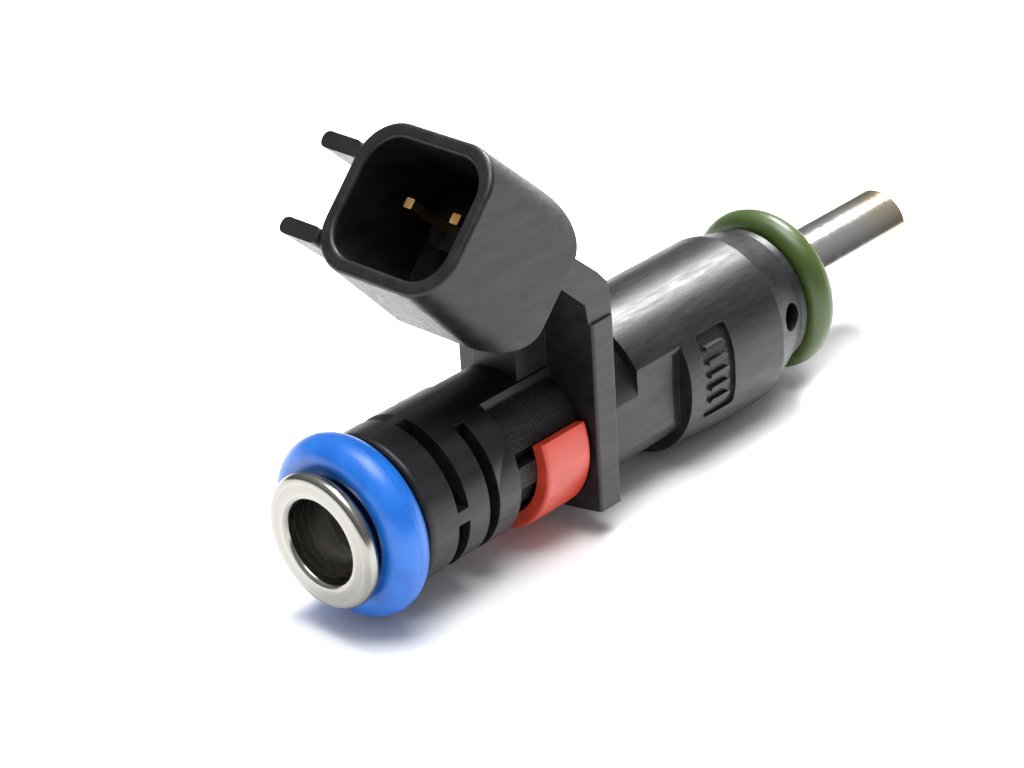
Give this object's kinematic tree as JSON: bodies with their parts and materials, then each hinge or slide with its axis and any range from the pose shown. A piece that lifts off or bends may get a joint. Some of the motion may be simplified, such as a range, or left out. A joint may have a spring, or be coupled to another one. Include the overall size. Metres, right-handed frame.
{
  "type": "fuel injector",
  "caption": "Slim port fuel injector with an angled two-pin connector, rubber seals at both ends, a coloured marking clip and a sliding solenoid valve inside.",
  "frame": {"origin": "on the valve's axis, in the middle plane of the upper seal, which is the rail cup's seal plane", "axes": "+Y runs along the valve's axis from the inlet to the nozzle; +Z points to the side that the connector stands on; +X completes the right-handed frame"},
  "size_m": [0.0177, 0.0685, 0.0352],
  "materials": {
    "black_nylon": "glass-filled nylon, satin sheen with a fine moulded grain",
    "red_plastic": "satin red plastic, a little translucent at its edges",
    "blue_seal": "smooth blue elastomer, soft sheen",
    "green_seal": "smooth dark olive-green elastomer, soft sheen",
    "nickel_steel": "drawn stainless steel, satin with a rolled, brighter edge",
    "bright_steel": "polished stainless steel with a faint straw tint at its end",
    "valve_steel": "ground steel",
    "plated_steel": "zinc-plated pressed steel",
    "tinned_brass": "brass, bright at the cut ends",
    "copper_wire": "enamelled copper wire",
    "white_nylon": "natural nylon",
    "filter_mesh": "fine woven nylon mesh"
  },
  "bodies": {
    "injector": {"inlet_tube": "nickel_steel", "inlet_filter_frame": "white_nylon", "inlet_filter_mesh": "filter_mesh", "upper_o_ring": "blue_seal", "overmold": "black_nylon", "identification_band": "red_plastic", "coil_housing": "plated_steel", "flux_washer": "plated_steel", "coil_bobbin": "black_nylon", "coil_winding": "copper_wire", "terminal_left": "tinned_brass", "terminal_right": "tinned_brass", "pole_piece": "valve_steel", "adjusting_tube": "tinned_brass", "non_magnetic_shell": "nickel_steel", "return_spring": "valve_steel", "valve_body": "nickel_steel", "nozzle_tube": "bright_steel", "ball_guide": "valve_steel", "valve_seat": "valve_steel", "orifice_disk": "valve_steel", "lower_o_ring": "green_seal", "seal_retainer": "black_nylon"},
    "valve": {"armature": "valve_steel", "needle_tube": "valve_steel", "valve_ball": "valve_steel"}
  },
  "joints": [
    {"name": "valve_lift", "type": "slide", "parent": "injector", "child": "valve", "axis": [0, -1, 0], "range_m": [0, 0.00008], "stiffness_N_per_m": 1500, "springref_m": -0.002, "deforming": ["return_spring"]}
  ]
}
